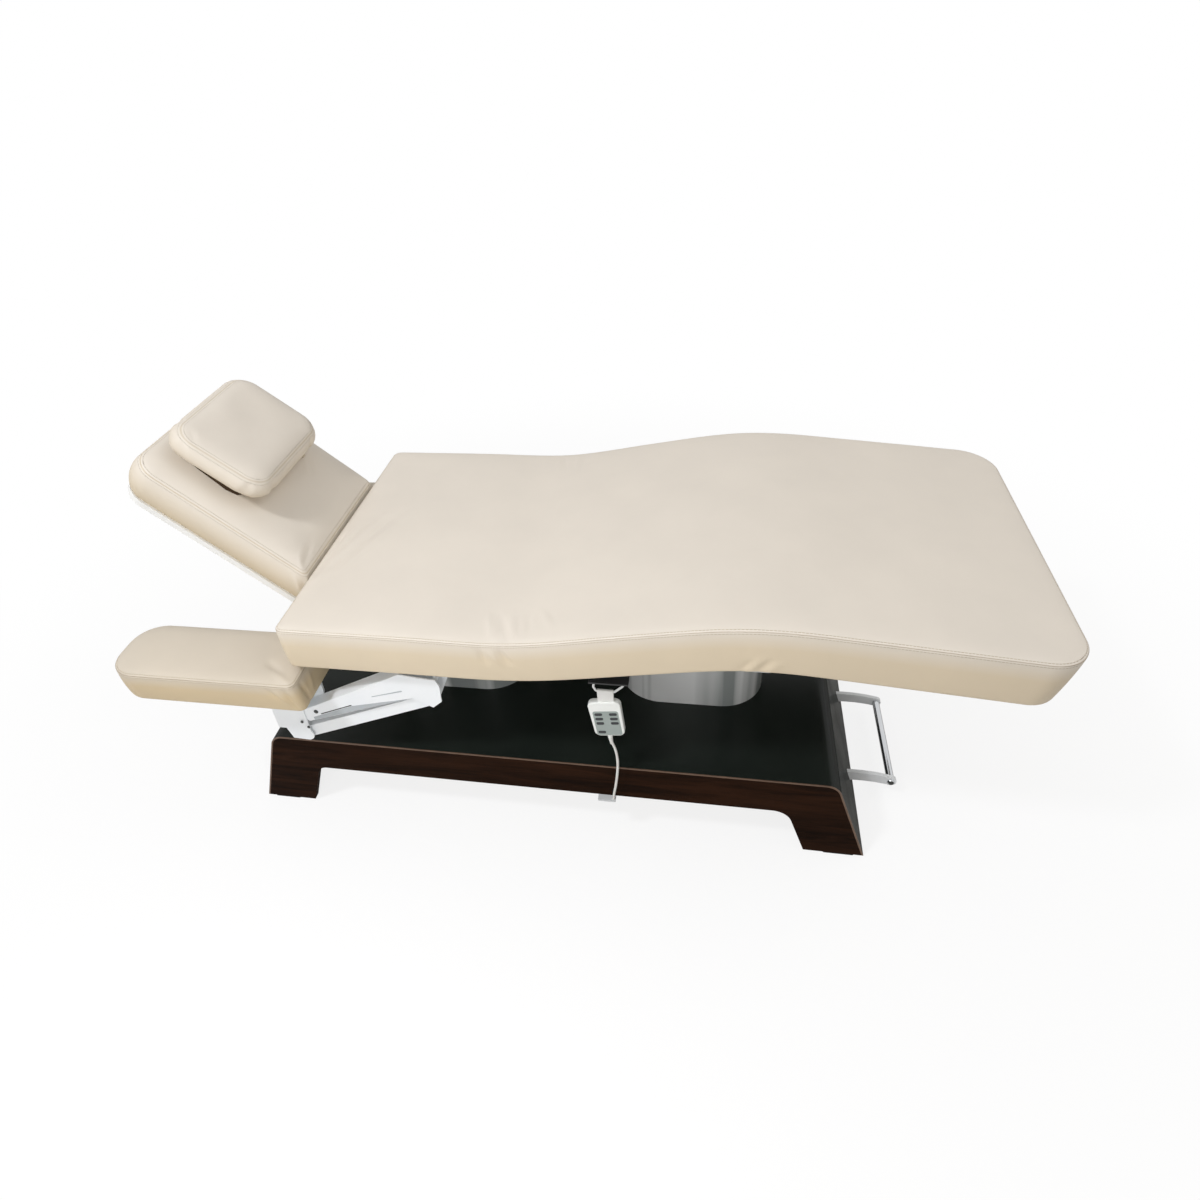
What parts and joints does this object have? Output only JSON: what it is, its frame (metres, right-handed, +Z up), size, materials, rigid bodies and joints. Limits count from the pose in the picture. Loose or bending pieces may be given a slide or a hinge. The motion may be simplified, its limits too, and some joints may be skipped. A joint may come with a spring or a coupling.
{
  "type": "electric massage table",
  "caption": "Electric massage table with a column lift, raised head section, bent knee section, side armrests, pillow and wired handset on a dark base.",
  "frame": {"origin": "on the floor, under the middle of the table's length and width, with the top at its lowest", "axes": "+X along the length towards the foot end, the near long side with the handset faces -Y, +Z up"},
  "size_m": [1.9992, 0.859, 0.9999],
  "materials": {
    "cream_leather": "satin",
    "black_panel": "gloss",
    "edge_metal": "satin",
    "dark_wood": "satin",
    "plywood": "matte",
    "polished_steel": "polished",
    "chromed_bar": "polished",
    "white_steel": "satin",
    "grey_steel": "satin",
    "bright_steel": "satin",
    "white_plastic": "gloss",
    "grey_plastic": "matte",
    "dark_plastic": "matte",
    "keypad_plastic": "matte",
    "dark_rubber": "matte",
    "white_strap": "matte",
    "white_cable": "matte",
    "board_white": "matte"
  },
  "bodies": {
    "base": {"top_panel": "black_panel", "edge_strips": "edge_metal", "right_apron": "dark_wood", "left_apron": "dark_wood", "carcass_boards": "plywood", "floor_glides": "dark_rubber", "handle_arms": "white_steel", "handle_bar": "chromed_bar", "control_box": "dark_plastic", "mains_inlet": "grey_plastic", "head_lower_sleeve": "polished_steel", "foot_lower_sleeve": "polished_steel", "lift_drives": "grey_steel", "cord_clip": "grey_plastic"},
    "middle_sleeves": {"head_middle_sleeve": "polished_steel", "foot_middle_sleeve": "polished_steel"},
    "top": {"head_upper_sleeve": "polished_steel", "foot_upper_sleeve": "polished_steel", "lift_rods": "bright_steel", "side_rails": "grey_steel", "cross_tubes": "grey_steel", "hinge_ears": "grey_steel", "back_board": "plywood", "back_pad": "cream_leather", "armrest_brackets": "bright_steel", "handset_ring": "white_steel", "handset_strap": "white_strap", "handset_back_shell": "white_plastic", "handset_front_shell": "white_plastic", "keypad": "keypad_plastic", "handset_cord": "white_cable"},
    "thigh_section": {"thigh_arms": "grey_steel", "thigh_board": "plywood", "thigh_pad": "cream_leather"},
    "leg_section": {"leg_arms": "grey_steel", "leg_board": "plywood", "leg_pad": "cream_leather"},
    "head_section": {"head_arms": "white_steel", "head_board": "board_white", "head_pad": "cream_leather", "pillow": "cream_leather"},
    "right_upper_link": {"right_upper_link": "white_steel"},
    "right_lower_link": {"right_lower_link": "white_steel"},
    "right_armrest": {"right_armrest_pad": "cream_leather", "right_armrest_carrier": "white_steel"},
    "left_upper_link": {"left_upper_link": "white_steel"},
    "left_lower_link": {"left_lower_link": "white_steel"},
    "left_armrest": {"left_armrest_pad": "cream_leather", "left_armrest_carrier": "white_steel"},
    "button_height_up": {"button_height_up": "dark_rubber"},
    "button_height_down": {"button_height_down": "dark_rubber"},
    "button_head_up": {"button_head_up": "dark_rubber"},
    "button_head_down": {"button_head_down": "dark_rubber"},
    "button_legs_up": {"button_legs_up": "dark_rubber"},
    "button_legs_down": {"button_legs_down": "dark_rubber"},
    "button_reset": {"button_reset": "dark_rubber"}
  },
  "joints": [
    {"name": "table_lift", "type": "slide", "parent": "base", "child": "top", "axis": [0, 0, 1], "range_m": [0, 0.25], "deforming": ["handset_cord"]},
    {"name": "middle_sleeves_slide", "type": "slide", "parent": "base", "child": "middle_sleeves", "axis": [0, 0, 1], "range_m": [0, 0.125]},
    {"name": "thigh_hinge", "type": "hinge", "parent": "top", "child": "thigh_section", "pos_m": [-0.03, 0, 0.529], "axis": [0, -1, 0], "range_deg": [-10, 12]},
    {"name": "knee_hinge", "type": "hinge", "parent": "thigh_section", "child": "leg_section", "pos_m": [0.42006, 0, 0.60836], "axis": [0, -1, 0], "range_deg": [-18.6, 15.5]},
    {"name": "head_hinge", "type": "hinge", "parent": "top", "child": "head_section", "pos_m": [-0.565, 0, 0.529], "axis": [0, 1, 0], "range_deg": [-56, 0]},
    {"name": "right_armrest_drop", "type": "hinge", "parent": "top", "child": "right_upper_link", "pos_m": [-0.243, -0.345, 0.513], "axis": [0, -1, 0], "range_deg": [0, 10]},
    {"name": "right_lower_link_hinge", "type": "hinge", "parent": "top", "child": "right_lower_link", "pos_m": [-0.268, -0.345, 0.455], "axis": [0, -1, 0], "range_deg": [0, 10]},
    {"name": "right_armrest_level", "type": "hinge", "parent": "right_upper_link", "child": "right_armrest", "pos_m": [-0.56654, -0.345, 0.37433], "axis": [0, -1, 0], "range_deg": [-10, 0]},
    {"name": "left_armrest_drop", "type": "hinge", "parent": "top", "child": "left_upper_link", "pos_m": [-0.243, 0.345, 0.513], "axis": [0, -1, 0], "range_deg": [0, 10]},
    {"name": "left_lower_link_hinge", "type": "hinge", "parent": "top", "child": "left_lower_link", "pos_m": [-0.268, 0.345, 0.455], "axis": [0, -1, 0], "range_deg": [0, 10]},
    {"name": "left_armrest_level", "type": "hinge", "parent": "left_upper_link", "child": "left_armrest", "pos_m": [-0.56654, 0.345, 0.37433], "axis": [0, -1, 0], "range_deg": [-10, 0]},
    {"name": "height_up_press", "type": "slide", "parent": "top", "child": "button_height_up", "axis": [0, 1, 0], "range_m": [0, 0.001], "stiffness_N_per_m": 600},
    {"name": "height_down_press", "type": "slide", "parent": "top", "child": "button_height_down", "axis": [0, 1, 0], "range_m": [0, 0.001], "stiffness_N_per_m": 600},
    {"name": "head_up_press", "type": "slide", "parent": "top", "child": "button_head_up", "axis": [0, 1, 0], "range_m": [0, 0.001], "stiffness_N_per_m": 600},
    {"name": "head_down_press", "type": "slide", "parent": "top", "child": "button_head_down", "axis": [0, 1, 0], "range_m": [0, 0.001], "stiffness_N_per_m": 600},
    {"name": "legs_up_press", "type": "slide", "parent": "top", "child": "button_legs_up", "axis": [0, 1, 0], "range_m": [0, 0.001], "stiffness_N_per_m": 600},
    {"name": "legs_down_press", "type": "slide", "parent": "top", "child": "button_legs_down", "axis": [0, 1, 0], "range_m": [0, 0.001], "stiffness_N_per_m": 600},
    {"name": "reset_press", "type": "slide", "parent": "top", "child": "button_reset", "axis": [0, 1, 0], "range_m": [0, 0.001], "stiffness_N_per_m": 600}
  ],
  "couplings": [
    {"joint": "middle_sleeves_slide", "follows": "table_lift", "ratio": 0.5},
    {"joint": "knee_hinge", "follows": "thigh_hinge", "ratio": -1.55},
    {"joint": "right_lower_link_hinge", "follows": "right_armrest_drop", "ratio": 1},
    {"joint": "right_armrest_level", "follows": "right_armrest_drop", "ratio": -1},
    {"joint": "left_lower_link_hinge", "follows": "left_armrest_drop", "ratio": 1},
    {"joint": "left_armrest_level", "follows": "left_armrest_drop", "ratio": -1}
  ]
}
